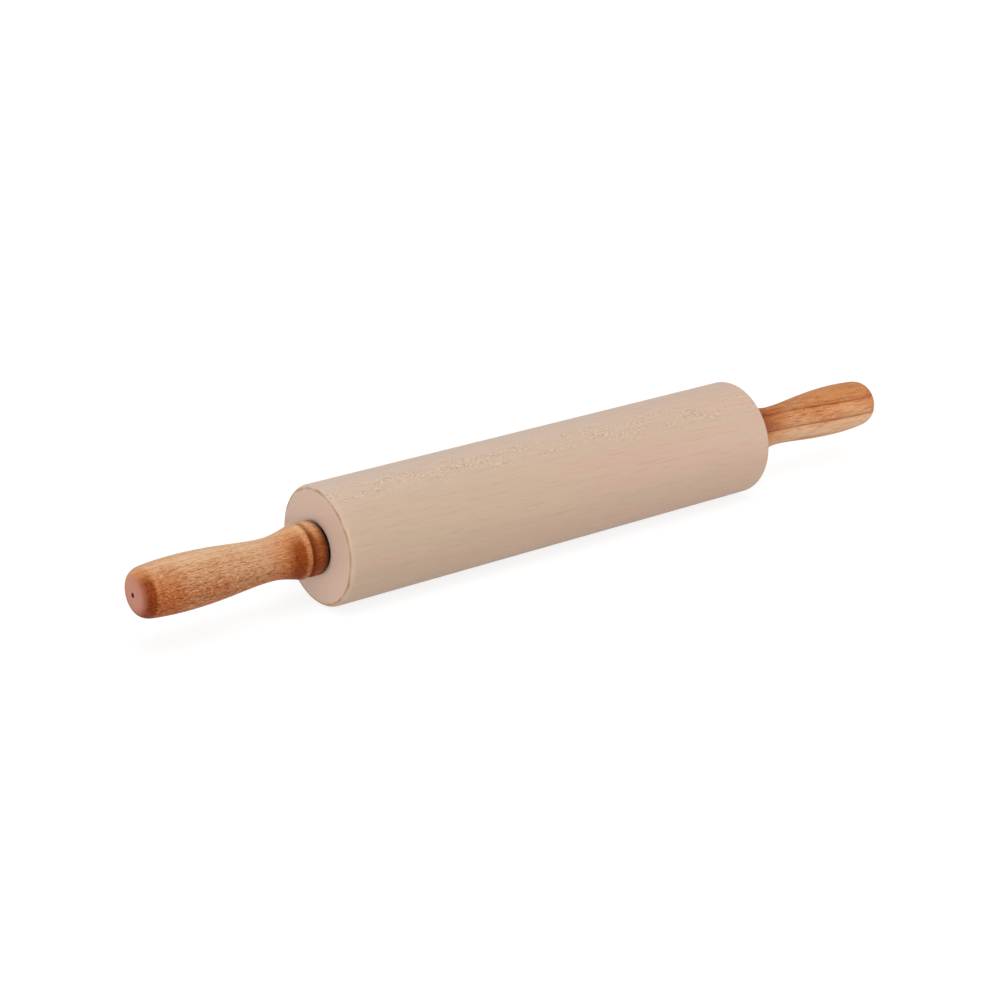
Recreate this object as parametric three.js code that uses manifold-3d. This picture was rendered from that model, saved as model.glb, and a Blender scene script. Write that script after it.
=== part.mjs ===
// A wooden rolling pin: a turned maple barrel that spins on a ball bearing at each end, around a steel rod
// with a stained hardwood handle fixed on each end of it.
// Sizes are in millimetres. The pin's axis is X, +Z is up, and the origin is the middle of the barrel.

import * as THREE from "three";
import { mergeVertices } from "three/addons/utils/BufferGeometryUtils.js";
import Module from "manifold-3d";

// Barrel
const BARREL_LENGTH = 254;
const BARREL_DIAMETER = 57.15;
const BARREL_EDGE_ROUND = 2.5;
const BARREL_BORE_GAP = 1; // all round the rod, which the barrel never touches

// Rod and the sockets that it is glued into
const ROD_DIAMETER = 8;
const ROD_CHAMFER = 0.8;
const SOCKET_DEPTH = 60;
const SOCKET_POINT = 2; // cone that the drill leaves at the bottom
const SOCKET_CLEARANCE = 0.1; // glue line round the rod
const ROD_END_GAP = 1;

// Handle, from its collar next to the barrel out to its tip
const HANDLE_GAP = 1; // barrel's end face to collar
const COLLAR_DIAMETER = 25.4;
const COLLAR_WIDTH = 5.8;
const COLLAR_EDGE_ROUND = 1.8;
const GROOVE_WIDTH = 2.8;
const GROOVE_DEPTH = 1.1;
const BEAD_DIAMETER = 25.5;
const BEAD_WIDTH = 3.2;
const BEAD_CROWN = 0.3; // crest above the bead's two edges
const COVE_LENGTH = 14.2;
const COVE_SLOPE = 0.3; // fall per millimetre where the cove leaves the bead
const NECK_DIAMETER = 19.9;
const NECK_LEAD = 12; // how far the neck runs level before it swells
const SWELL_LENGTH = 44;
const GRIP_DIAMETER = 25.5;
const GRIP_LEAD = 20; // how far the grip runs level before its widest place
const SHOULDER_LENGTH = 16.5;
const SHOULDER_DROP = 0.85;
const TIP_EDGE_LENGTH = 6.9;
const CAP_DIAMETER = 12.8;
const CAP_HEIGHT = 0.3;
const VENT_DIAMETER = 2; // lets air out of the socket when the rod goes in

// Ball bearing
const BALL_DIAMETER = 3.97;
const BALL_COUNT = 7;
const RACE_CLEARANCE = 0.1; // running play between ball and race
const RACE_DEPTH = 0.6;
const INNER_RACE_WALL = 1.36; // inner ring under its race
const OUTER_RACE_WALL = 1.42; // outer ring behind its race
const RING_CHAMFER = 0.3;
const CAGE_WEB = 0.6;
const CAGE_LIP = 1.1; // how far the fingers reach past the balls' centres
const CAGE_GAP = 0.4;
const POCKET_CLEARANCE = 0.15;
const SHIELD_THICKNESS = 0.3;
const SHIELD_GAP = 0.3; // to the cage and to the inner ring
const SHIELD_INSET = 0.165;
const SHIELD_SEAT = 0.4; // ledge of the outer ring that the shield sits on
const SEAT_CLEARANCE = 0.05; // light press fits of rod, rings, shields and washers
const BEARING_RECESS = 0.5; // bearing below the barrel's end face
const WASHER_STEP = 0.3; // washer's rim inside the inner ring's rim

// Facets round each turned piece and along each curve
const BARREL_SIDES = 48;
const HANDLE_SIDES = 32;
const RING_SIDES = 32;
const POCKET_SIDES = 12;
const BALL_SIDES = 10;
const BALL_RINGS = 7;
const EDGE_STEPS = 4;
const GROOVE_STEPS = 4;
const CURVE_STEPS = 6;
const RACE_STEPS = 4;

// Sizes that follow from the ones above
const ballRadius = BALL_DIAMETER / 2;
const rodRadius = ROD_DIAMETER / 2;
const ringBore = rodRadius + SEAT_CLEARANCE;
const raceRadius = ballRadius + RACE_CLEARANCE;
const pitchRadius = ringBore + INNER_RACE_WALL + raceRadius;
const innerRim = pitchRadius - raceRadius + RACE_DEPTH;
const outerRim = pitchRadius + raceRadius - RACE_DEPTH;
const bearingRadius = pitchRadius + raceRadius + OUTER_RACE_WALL;
const cageSide = ballRadius + POCKET_CLEARANCE + CAGE_WEB;
const shieldSide = cageSide + SHIELD_GAP;
const bearingHalf = shieldSide + SHIELD_THICKNESS + SHIELD_INSET;
const shieldRecess = outerRim + SHIELD_SEAT;
const socketRadius = rodRadius + SOCKET_CLEARANCE;
const rodHalf = BARREL_LENGTH / 2 + HANDLE_GAP + SOCKET_DEPTH - ROD_END_GAP;

const maple = { color: 0xdcc3a1, roughness: 0.6, metalness: 0 };
const stainedWood = { color: 0xa8622f, roughness: 0.4, metalness: 0 };
const steel = { color: 0xb9bcc0, roughness: 0.35, metalness: 1 };
const bearingSteel = { color: 0xc8cacd, roughness: 0.2, metalness: 1 };
const nylon = { color: 0xe6e2d6, roughness: 0.55, metalness: 0 };

const wasm = await Module();
wasm.setup();

/** A point of a turned outline: its radius and its place along the axis. */
function at(radius, along) {
  return new THREE.Vector2(radius, along);
}

/** Points on an arc of a turned outline, with angles counted from straight out towards +X. */
function arc(centre, radius, from, to, steps) {
  return Array.from({ length: steps + 1 }, (_, i) => {
    const angle = from + ((to - from) * i) / steps;
    return at(centre.x + radius * Math.cos(angle), centre.y + radius * Math.sin(angle));
  });
}

/** Turns an outline about the X axis. The outline runs towards +X on the outside of the piece. */
function turned(outline, sides, startAngle = 0) {
  return new THREE.LatheGeometry(outline, sides, startAngle).rotateZ(-Math.PI / 2);
}

/** Turns an outline that goes right round the cut face of a ring. */
function turnedRing(outline, sides, startAngle = 0) {
  return turned([...outline, outline[0]], sides, startAngle);
}

function piece(name, geometry, finish) {
  const mesh = new THREE.Mesh(geometry, new THREE.MeshStandardMaterial(finish));
  mesh.name = name;
  return mesh;
}

function solidOf(geometry) {
  const bare = geometry.clone();
  bare.deleteAttribute("normal");
  bare.deleteAttribute("uv");
  const merged = mergeVertices(bare);
  const vertProperties = merged.attributes.position.array;
  const triVerts = new Uint32Array(merged.index.array);
  return new wasm.Manifold(new wasm.Mesh({ numProp: 3, vertProperties, triVerts }));
}

function geometryOf(solid) {
  const mesh = solid.getMesh();
  const geometry = new THREE.BufferGeometry();
  geometry.setAttribute("position", new THREE.BufferAttribute(mesh.vertProperties, 3));
  geometry.setIndex(new THREE.BufferAttribute(mesh.triVerts, 1));
  geometry.computeVertexNormals();
  return geometry;
}

/** Barrel with rounded edges, a through bore and a seat for a bearing in each end. A facet faces down. */
function barrel() {
  const half = BARREL_LENGTH / 2;
  const radius = BARREL_DIAMETER / 2;
  const bore = rodRadius + BARREL_BORE_GAP;
  const seat = bearingRadius + SEAT_CLEARANCE;
  const seatFloor = half - BEARING_RECESS - 2 * bearingHalf - SEAT_CLEARANCE;
  const roundRadius = radius - BARREL_EDGE_ROUND;
  const roundAlong = half - BARREL_EDGE_ROUND;
  const outline = [
    at(seat, -half),
    ...arc(at(roundRadius, -roundAlong), BARREL_EDGE_ROUND, -Math.PI / 2, 0, EDGE_STEPS),
    ...arc(at(roundRadius, roundAlong), BARREL_EDGE_ROUND, 0, Math.PI / 2, EDGE_STEPS),
    at(seat, half),
    at(seat, seatFloor),
    at(bore, seatFloor),
    at(bore, -seatFloor),
    at(seat, -seatFloor),
  ];
  return turnedRing(outline, BARREL_SIDES, Math.PI / BARREL_SIDES);
}

function rod() {
  const outline = [
    at(0, -rodHalf),
    at(rodRadius - ROD_CHAMFER, -rodHalf),
    at(rodRadius, ROD_CHAMFER - rodHalf),
    at(rodRadius, rodHalf - ROD_CHAMFER),
    at(rodRadius - ROD_CHAMFER, rodHalf),
    at(0, rodHalf),
  ];
  return turned(outline, RING_SIDES);
}

/** Collar, groove and bead at the inner end of a handle. */
function collarOutline(beadFrom) {
  const radius = COLLAR_DIAMETER / 2;
  const beadEdge = BEAD_DIAMETER / 2 - BEAD_CROWN;
  const roundCentre = at(radius - COLLAR_EDGE_ROUND, COLLAR_EDGE_ROUND);
  const groove = Array.from({ length: GROOVE_STEPS }, (_, i) => {
    const t = i / GROOVE_STEPS;
    const rim = radius + (beadEdge - radius) * t;
    return at(rim - GROOVE_DEPTH * Math.sin(Math.PI * t), COLLAR_WIDTH + GROOVE_WIDTH * t);
  });
  const bead = Array.from({ length: GROOVE_STEPS }, (_, i) => {
    const t = i / GROOVE_STEPS;
    return at(BEAD_DIAMETER / 2 - BEAD_CROWN * (2 * t - 1) ** 2, beadFrom + BEAD_WIDTH * t);
  });
  return [...arc(roundCentre, COLLAR_EDGE_ROUND, -Math.PI / 2, 0, EDGE_STEPS), ...groove, ...bead];
}

/** Rounded end of a handle: an edge that flows from the shoulder into a low cap with the vent in it. */
function tipOutline(edgeFrom) {
  const cap = CAP_DIAMETER / 2;
  const edge = GRIP_DIAMETER / 2 - SHOULDER_DROP;
  const shoulderSlope = (2 * SHOULDER_DROP) / SHOULDER_LENGTH;
  const capSlope = (2 * CAP_HEIGHT) / cap;
  const corner = (TIP_EDGE_LENGTH - capSlope * (edge - cap)) / (1 - shoulderSlope * capSlope);
  const capFrom = edgeFrom + TIP_EDGE_LENGTH;
  const rounding = new THREE.QuadraticBezierCurve(
    at(edge, edgeFrom),
    at(edge - shoulderSlope * corner, edgeFrom + corner),
    at(cap, capFrom),
  );
  const dome = [1, 0.5, 0].map((t) => {
    const radius = VENT_DIAMETER / 2 + (cap - VENT_DIAMETER / 2) * t;
    return at(radius, capFrom + CAP_HEIGHT * (1 - (radius / cap) ** 2));
  });
  return [...rounding.getPoints(CURVE_STEPS).slice(0, -1), ...dome];
}

/** Handle with its socket and vent, from its inner face at 0 towards +X. */
function handle() {
  const beadFrom = COLLAR_WIDTH + GROOVE_WIDTH;
  const coveFrom = beadFrom + BEAD_WIDTH;
  const neckAt = coveFrom + COVE_LENGTH;
  const gripAt = neckAt + SWELL_LENGTH;
  const edgeFrom = gripAt + SHOULDER_LENGTH;
  const beadEdge = BEAD_DIAMETER / 2 - BEAD_CROWN;
  const neck = NECK_DIAMETER / 2;
  const grip = GRIP_DIAMETER / 2;
  const cove = new THREE.QuadraticBezierCurve(
    at(beadEdge, coveFrom),
    at(neck, coveFrom + (beadEdge - neck) / COVE_SLOPE),
    at(neck, neckAt),
  );
  const swell = new THREE.CubicBezierCurve(
    at(neck, neckAt),
    at(neck, neckAt + NECK_LEAD),
    at(grip, gripAt - GRIP_LEAD),
    at(grip, gripAt),
  );
  const shoulder = new THREE.QuadraticBezierCurve(
    at(grip, gripAt),
    at(grip, gripAt + SHOULDER_LENGTH / 2),
    at(grip - SHOULDER_DROP, edgeFrom),
  );
  const outline = [
    at(socketRadius, 0),
    ...collarOutline(beadFrom),
    ...cove.getPoints(CURVE_STEPS).slice(0, -1),
    ...swell.getPoints(CURVE_STEPS).slice(0, -1),
    ...shoulder.getPoints(EDGE_STEPS).slice(0, -1),
    ...tipOutline(edgeFrom),
    at(VENT_DIAMETER / 2, SOCKET_DEPTH + SOCKET_POINT),
    at(socketRadius, SOCKET_DEPTH),
  ];
  return turnedRing(outline, HANDLE_SIDES);
}

/** Washer on the rod that keeps the handle off the barrel and bears on the bearing's inner ring alone. */
function spacerWasher() {
  const from = SEAT_CLEARANCE - BEARING_RECESS;
  const to = HANDLE_GAP - SEAT_CLEARANCE;
  const rim = innerRim - WASHER_STEP;
  return turnedRing([at(rim, from), at(rim, to), at(ringBore, to), at(ringBore, from)], RING_SIDES);
}

function innerRing() {
  const raceAngle = Math.acos(1 - RACE_DEPTH / raceRadius);
  const outline = [
    at(innerRim, -bearingHalf),
    ...arc(at(pitchRadius, 0), raceRadius, Math.PI + raceAngle, Math.PI - raceAngle, RACE_STEPS),
    at(innerRim, bearingHalf),
    at(ringBore + RING_CHAMFER, bearingHalf),
    at(ringBore, bearingHalf - RING_CHAMFER),
    at(ringBore, RING_CHAMFER - bearingHalf),
    at(ringBore + RING_CHAMFER, -bearingHalf),
  ];
  return turnedRing(outline, RING_SIDES);
}

function outerRing() {
  const raceAngle = Math.acos(1 - RACE_DEPTH / raceRadius);
  const ledge = shieldSide - SEAT_CLEARANCE;
  const outline = [
    at(bearingRadius, RING_CHAMFER - bearingHalf),
    at(bearingRadius, bearingHalf - RING_CHAMFER),
    at(bearingRadius - RING_CHAMFER, bearingHalf),
    at(shieldRecess, bearingHalf),
    at(shieldRecess, ledge),
    at(outerRim, ledge),
    ...arc(at(pitchRadius, 0), raceRadius, raceAngle, -raceAngle, RACE_STEPS),
    at(outerRim, -ledge),
    at(shieldRecess, -ledge),
    at(shieldRecess, -bearingHalf),
    at(bearingRadius - RING_CHAMFER, -bearingHalf),
  ];
  return turnedRing(outline, RING_SIDES);
}

function shield() {
  const from = shieldSide;
  const to = shieldSide + SHIELD_THICKNESS;
  const rim = shieldRecess - SEAT_CLEARANCE;
  const hole = innerRim + SHIELD_GAP;
  return turnedRing([at(rim, from), at(rim, to), at(hole, to), at(hole, from)], RING_SIDES);
}

function ballAngle(index) {
  return (2 * Math.PI * index) / BALL_COUNT;
}

/** Crown cage: a ring with a round pocket for each ball, open on one side so that the balls snap in. */
function cage() {
  const hole = innerRim + CAGE_GAP;
  const rim = outerRim - CAGE_GAP;
  const pocketRadius = ballRadius + POCKET_CLEARANCE;
  const outline = [at(rim, -cageSide), at(rim, CAGE_LIP), at(hole, CAGE_LIP), at(hole, -cageSide)];
  let solid = solidOf(turnedRing(outline, RING_SIDES));
  for (let i = 0; i < BALL_COUNT; i += 1) {
    const pocket = new THREE.CylinderGeometry(pocketRadius, pocketRadius, 2 * ballRadius, POCKET_SIDES);
    pocket.translate(0, pitchRadius, 0);
    pocket.rotateX(Math.PI / 2 - ballAngle(i));
    solid = solid.subtract(solidOf(pocket));
  }
  return geometryOf(solid);
}

/** Bearing about its own middle, with +X towards the handle. */
function bearing(side) {
  const group = new THREE.Group();
  const coverIn = shield().rotateZ(Math.PI);
  group.add(piece(`${side}_bearing_outer_ring`, outerRing(), bearingSteel));
  group.add(piece(`${side}_bearing_inner_ring`, innerRing(), bearingSteel));
  group.add(piece(`${side}_bearing_cage`, cage(), nylon));
  group.add(piece(`${side}_bearing_outer_shield`, shield(), steel));
  group.add(piece(`${side}_bearing_inner_shield`, coverIn, steel));
  for (let i = 0; i < BALL_COUNT; i += 1) {
    const ball = new THREE.SphereGeometry(ballRadius, BALL_SIDES, BALL_RINGS);
    const mesh = piece(`${side}_bearing_ball_${i + 1}`, ball, bearingSteel);
    const angle = ballAngle(i);
    mesh.position.set(0, pitchRadius * Math.sin(angle), pitchRadius * Math.cos(angle));
    group.add(mesh);
  }
  return group;
}

/** Everything at one end of the barrel, from the barrel's end face at 0 towards +X. */
function pinEnd(side) {
  const group = new THREE.Group();
  const grip = piece(`${side}_handle`, handle(), stainedWood);
  grip.position.x = HANDLE_GAP;
  const bearingGroup = bearing(side);
  bearingGroup.position.x = -BEARING_RECESS - bearingHalf;
  group.add(grip, piece(`${side}_spacer_washer`, spacerWasher(), steel), bearingGroup);
  return group;
}

const rollingPin = new THREE.Group();
rollingPin.add(piece("barrel", barrel(), maple));
rollingPin.add(piece("axle_rod", rod(), steel));

const rightEnd = pinEnd("right");
rightEnd.position.x = BARREL_LENGTH / 2;
rollingPin.add(rightEnd);

const leftEnd = pinEnd("left");
leftEnd.position.x = -BARREL_LENGTH / 2;
leftEnd.rotation.z = Math.PI;
rollingPin.add(leftEnd);

export default rollingPin;
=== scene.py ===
"""A wooden rolling pin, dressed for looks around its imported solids.

Places are in metres, in the solids' own frame: X is the pin's axis, +Z is up, and the origin is the middle of
the barrel. Sizes of the object are kept in millimetres, as a turner measures them.
"""

import logging
import math
from abc import ABC, abstractmethod
from collections.abc import Sequence
from dataclasses import dataclass, field
from enum import Enum
from typing import Any

import bmesh
import bpy
from mathutils import Matrix, Vector


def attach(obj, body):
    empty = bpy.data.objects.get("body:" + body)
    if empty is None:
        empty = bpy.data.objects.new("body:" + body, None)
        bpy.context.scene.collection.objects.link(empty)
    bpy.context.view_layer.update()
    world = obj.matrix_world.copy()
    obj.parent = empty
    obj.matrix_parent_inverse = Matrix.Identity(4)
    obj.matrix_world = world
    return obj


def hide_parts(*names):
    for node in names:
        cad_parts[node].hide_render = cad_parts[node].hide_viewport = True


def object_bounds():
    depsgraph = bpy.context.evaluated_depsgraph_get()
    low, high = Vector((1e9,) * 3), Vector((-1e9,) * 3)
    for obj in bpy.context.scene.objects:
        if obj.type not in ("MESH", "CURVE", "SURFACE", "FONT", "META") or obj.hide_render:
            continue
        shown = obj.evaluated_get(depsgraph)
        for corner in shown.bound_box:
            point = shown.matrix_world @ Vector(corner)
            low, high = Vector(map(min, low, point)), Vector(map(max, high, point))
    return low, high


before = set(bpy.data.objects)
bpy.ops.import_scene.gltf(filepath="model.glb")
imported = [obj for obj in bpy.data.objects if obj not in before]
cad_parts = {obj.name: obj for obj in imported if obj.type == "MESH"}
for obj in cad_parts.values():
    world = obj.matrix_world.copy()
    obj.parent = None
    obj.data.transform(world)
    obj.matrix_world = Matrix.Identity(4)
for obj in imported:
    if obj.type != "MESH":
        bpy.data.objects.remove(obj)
CAD_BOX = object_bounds()

LOG = logging.getLogger("rolling_pin")

MM = 0.001
WELD_MM = 0.002  # points closer than this are one point
BARREL_HALF = 127.0  # middle of the barrel to its end, in millimetres
ACROSS = (0.0, 1.0, 1.0)  # leaves out what lies along the axis

Point = tuple[float, float]  # place along the axis and radius, in millimetres
Pair = tuple[float, float]  # two values of the kind that its place names
Steps = tuple[Pair, ...]  # places and strengths
Colour = tuple[float, float, float, float]
Tree = bpy.types.NodeTree
Node = bpy.types.Node


class Side(Enum):
    """End of the pin, with its direction along X."""

    LEFT = -1
    RIGHT = 1

    @property
    def word(self) -> str:
        """Side's name as the solids use it."""
        return self.name.lower()

    @property
    def facing(self) -> float:
        """Turn about Z that points a piece made towards +X out of this end."""
        return 0.0 if self is Side.RIGHT else math.pi


def linear(code: str) -> Colour:
    """Turns an sRGB colour into a linear one.

    Args:
        code: Hex colour, such as "#D5BDA8".

    Returns:
        Linear red, green, blue and an alpha of 1.
    """
    channels = [int(code[i : i + 2], 16) / 255 for i in (1, 3, 5)]
    bend = [c / 12.92 if c <= 0.04045 else ((c + 0.055) / 1.055) ** 2.4 for c in channels]
    return (bend[0], bend[1], bend[2], 1.0)


def grey(level: float) -> Colour:
    """Grey of a linear level, for a white surface or a ramp that carries a number."""
    return (level, level, level, 1.0)


def add_node(
    tree: Tree,
    kind: str,
    inputs: dict[str | int, Any] | None = None,
    stops: Sequence[tuple[float, float | str]] = (),
    **settings: Any,
) -> Node:
    """Adds a node with its settings and links.

    Args:
        tree: Tree that gets the node.
        kind: Blender's type name of the node.
        inputs: What goes into each input, by name or index: a value, a hex colour, a socket to link from, or
            a node, which stands for its first output in use.
        stops: Places on a colour ramp, each with a level or a hex colour.
        **settings: Properties of the node.

    Returns:
        The new node.
    """
    node = tree.nodes.new(kind)
    for name, value in settings.items():
        setattr(node, name, value)
    for key, value in (inputs or {}).items():
        named = [socket for socket in node.inputs if socket.enabled and socket.name == key]
        socket = named[0] if named else node.inputs[key]
        if isinstance(value, Node):
            value = next(output for output in value.outputs if output.enabled)
        if isinstance(value, bpy.types.NodeSocket):
            tree.links.new(value, socket)
        else:
            socket.default_value = linear(value) if isinstance(value, str) else value
    for i, (place, tone) in enumerate(stops):
        elements = node.color_ramp.elements
        stop = elements[i] if i < len(elements) else elements.new(place)
        stop.position = place
        stop.color = linear(tone) if isinstance(tone, str) else grey(tone)
    return node


# Outlines of turned pieces


def arc(centre: Point, radius: float, start: float, end: float, steps: int) -> list[Point]:
    """Points on an arc of an outline.

    Args:
        centre: Middle of the arc.
        radius: Radius of the arc.
        start: First angle in degrees, counted from straight out towards +X.
        end: Last angle in degrees.
        steps: Number of chords.

    Returns:
        The points from start to end.
    """
    angles = [math.radians(start + (end - start) * share) for share in shares(steps)]
    return [(centre[0] + radius * math.sin(a), centre[1] + radius * math.cos(a)) for a in angles]


def bezier(corners: Sequence[Point], steps: int) -> list[Point]:
    """Points on a Bezier curve of an outline.

    Args:
        corners: Control points, ends included.
        steps: Number of chords.

    Returns:
        The points from the first corner to the last.
    """
    points = []
    for share in shares(steps):
        row = [Vector(corner) for corner in corners]
        while len(row) > 1:
            row = [a.lerp(b, share) for a, b in zip(row, row[1:])]
        points.append((row[0].x, row[0].y))
    return points


def shares(steps: int) -> list[float]:
    """Even shares from 0 to 1."""
    return [i / steps for i in range(steps + 1)]


def mirrored(half: Sequence[Point]) -> list[Point]:
    """Half an outline on the side of +X, walked out from its middle, with its mirror image before it."""
    return [*((-along, radius) for along, radius in reversed(half)), *half]


def closed(outline: Sequence[Point]) -> list[Point]:
    """Outline that ends where it starts."""
    return [*outline, outline[0]]


# Geometry Nodes

TURNED = {"Outline": "NodeSocketGeometry", "Segments": "NodeSocketInt"}
ROW = {"Count": "NodeSocketInt", "Pitch Radius": "NodeSocketFloat"}
POCKETS = {"Pocket Radius": "NodeSocketFloat", "Pocket Depth": "NodeSocketFloat"}
BALL = {
    "Geometry": "NodeSocketGeometry",
    "Segments": "NodeSocketInt",
    "Ball": "NodeSocketInt",
    "Ball Radius": "NodeSocketFloat",
}
PLACING = {
    "Crease": "NodeSocketFloat",
    "Facing": "NodeSocketFloat",
    "Place": "NodeSocketFloat",
    "Finish": "NodeSocketMaterial",
}


def geometry_tree(name: str, sockets: dict[str, str]) -> tuple[Tree, Node]:
    """Starts a Geometry Nodes tree.

    Args:
        name: Name of the tree.
        sockets: Type of each named input.

    Returns:
        The tree and its Group Input node.
    """
    tree = bpy.data.node_groups.new(name, "GeometryNodeTree")
    for socket, kind in sockets.items():
        tree.interface.new_socket(socket, in_out="INPUT", socket_type=kind)
    tree.interface.new_socket("Geometry", in_out="OUTPUT", socket_type="NodeSocketGeometry")
    return tree, add_node(tree, "NodeGroupInput")


def finish_tree(tree: Tree, given: Node, shape: Node) -> None:
    """Ends a tree: shades it, puts it in its place, realizes its instances and sets its material.

    Args:
        tree: Tree with the inputs of PLACING.
        given: Group Input node of the tree.
        shape: Node that gives the geometry.
    """
    crease, facing, place, finish = (given.outputs[name] for name in PLACING)
    bend = {"A": add_node(tree, "GeometryNodeInputMeshEdgeAngle"), "B": crease}
    sharp = add_node(tree, "FunctionNodeCompare", bend, data_type="FLOAT", operation="GREATER_THAN")
    smooth = add_node(tree, "GeometryNodeSetShadeSmooth", {"Geometry": shape}, domain="FACE")
    edges = {"Geometry": smooth, "Selection": sharp, "Shade Smooth": False}
    creased = add_node(tree, "GeometryNodeSetShadeSmooth", edges, domain="EDGE")
    turn = add_node(tree, "ShaderNodeCombineXYZ", {"Z": facing})
    shift = add_node(tree, "ShaderNodeCombineXYZ", {"X": place})
    moves = {"Geometry": creased, "Translation": shift, "Rotation": turn}
    placed = add_node(tree, "GeometryNodeTransform", moves)
    real = add_node(tree, "GeometryNodeRealizeInstances", {"Geometry": placed})
    dressed = add_node(tree, "GeometryNodeSetMaterial", {"Geometry": real, "Material": finish})
    add_node(tree, "NodeGroupOutput", {"Geometry": dressed})


def turned_tree() -> Tree:
    """Builds the tree that turns an outline about the X axis.

    Returns:
        The tree. It sweeps each point of the outline round the axis on a grid, and welds the seam and poles.
    """
    tree, given = geometry_tree("Turned piece", {**TURNED, **PLACING})
    outline, segments = (given.outputs[name] for name in TURNED)
    points = add_node(tree, "GeometryNodeAttributeDomainSize", {"Geometry": outline})
    rows = add_node(tree, "ShaderNodeMath", {0: segments, 1: 1.0}, operation="ADD")
    grid = add_node(tree, "GeometryNodeMeshGrid", {"Vertices X": rows, "Vertices Y": points})
    index = add_node(tree, "GeometryNodeInputIndex")
    column = add_node(tree, "ShaderNodeMath", {0: index, 1: points}, operation="MODULO")
    middle = add_node(tree, "ShaderNodeMath", {0: index, 1: 0.5}, operation="ADD")
    share = add_node(tree, "ShaderNodeMath", {0: middle, 1: points}, operation="DIVIDE")
    row = add_node(tree, "ShaderNodeMath", {0: share}, operation="FLOOR")
    picked = {"Geometry": outline, "Value": add_node(tree, "GeometryNodeInputPosition"), "Index": column}
    corner = add_node(tree, "GeometryNodeSampleIndex", picked, data_type="FLOAT_VECTOR", domain="POINT")
    part = add_node(tree, "ShaderNodeMath", {0: row, 1: segments}, operation="DIVIDE")
    angle = add_node(tree, "ShaderNodeMath", {0: part, 1: math.tau}, operation="MULTIPLY")
    sweep = {"Vector": corner, "Angle": angle}
    swept = add_node(tree, "ShaderNodeVectorRotate", sweep, rotation_type="X_AXIS")
    moved = add_node(tree, "GeometryNodeSetPosition", {"Geometry": grid, "Position": swept})
    seam = {"Geometry": moved, "Distance": WELD_MM * MM}
    finish_tree(tree, given, add_node(tree, "GeometryNodeMergeByDistance", seam))
    return tree


def row_of_balls(tree: Tree, given: Node) -> Node:
    """Adds the pitch circle of a bearing to a tree, in the plane across the axis.

    Args:
        tree: Tree with the inputs of ROW.
        given: Group Input node of the tree.

    Returns:
        Node that gives one point for each ball, the first one straight up.
    """
    count, radius = (given.outputs[name] for name in ROW)
    circle = add_node(tree, "GeometryNodeMeshCircle", {"Vertices": count, "Radius": radius})
    upright = {"Geometry": circle, "Rotation": (0.0, -math.pi / 2, 0.0)}
    return add_node(tree, "GeometryNodeTransform", upright)


def ball_tree() -> Tree:
    """Builds the tree that sets one ball of a bearing on its place of the pitch circle.

    Returns:
        The tree. Ball is the number of the place, counted from 0.
    """
    tree, given = geometry_tree("Bearing ball", {**BALL, **ROW, **PLACING})
    _, segments, number, radius = (given.outputs[name] for name in BALL)
    rings = add_node(tree, "ShaderNodeMath", {0: segments, 1: 2.0}, operation="DIVIDE")
    sizes = {"Segments": segments, "Rings": rings, "Radius": radius}
    ball = add_node(tree, "GeometryNodeMeshUVSphere", sizes)
    places = {"A": add_node(tree, "GeometryNodeInputIndex"), "B": number}
    chosen = add_node(tree, "FunctionNodeCompare", places, data_type="INT", operation="EQUAL")
    row = {"Points": row_of_balls(tree, given), "Selection": chosen, "Instance": ball}
    placed = add_node(tree, "GeometryNodeInstanceOnPoints", row)
    finish_tree(tree, given, add_node(tree, "GeometryNodeRealizeInstances", {"Geometry": placed}))
    return tree


def cage_tree(turned: Tree) -> Tree:
    """Builds the tree that turns a cage and cuts a round pocket in it for each ball.

    Args:
        turned: Tree that turns an outline.

    Returns:
        The tree.
    """
    tree, given = geometry_tree("Pocketed cage", {**TURNED, **POCKETS, **ROW, **PLACING})
    outline, segments, radius, depth = (given.outputs[name] for name in (*TURNED, *POCKETS))
    ring = add_node(tree, "GeometryNodeGroup", {"Outline": outline, "Segments": segments}, node_tree=turned)
    sizes = {"Vertices": segments, "Radius": radius, "Depth": depth}
    drill = add_node(tree, "GeometryNodeMeshCylinder", sizes)
    place = add_node(tree, "GeometryNodeInputPosition")
    outward = add_node(tree, "FunctionNodeAlignRotationToVector", {"Vector": place}, axis="Z")
    row = {"Points": row_of_balls(tree, given), "Instance": drill, "Rotation": outward}
    drills = add_node(tree, "GeometryNodeInstanceOnPoints", row)
    bodies = {"Mesh 1": ring, "Mesh 2": add_node(tree, "GeometryNodeRealizeInstances", {"Geometry": drills})}
    cut = add_node(tree, "GeometryNodeMeshBoolean", bodies, operation="DIFFERENCE", solver="EXACT")
    finish_tree(tree, given, cut)
    return tree


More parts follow.
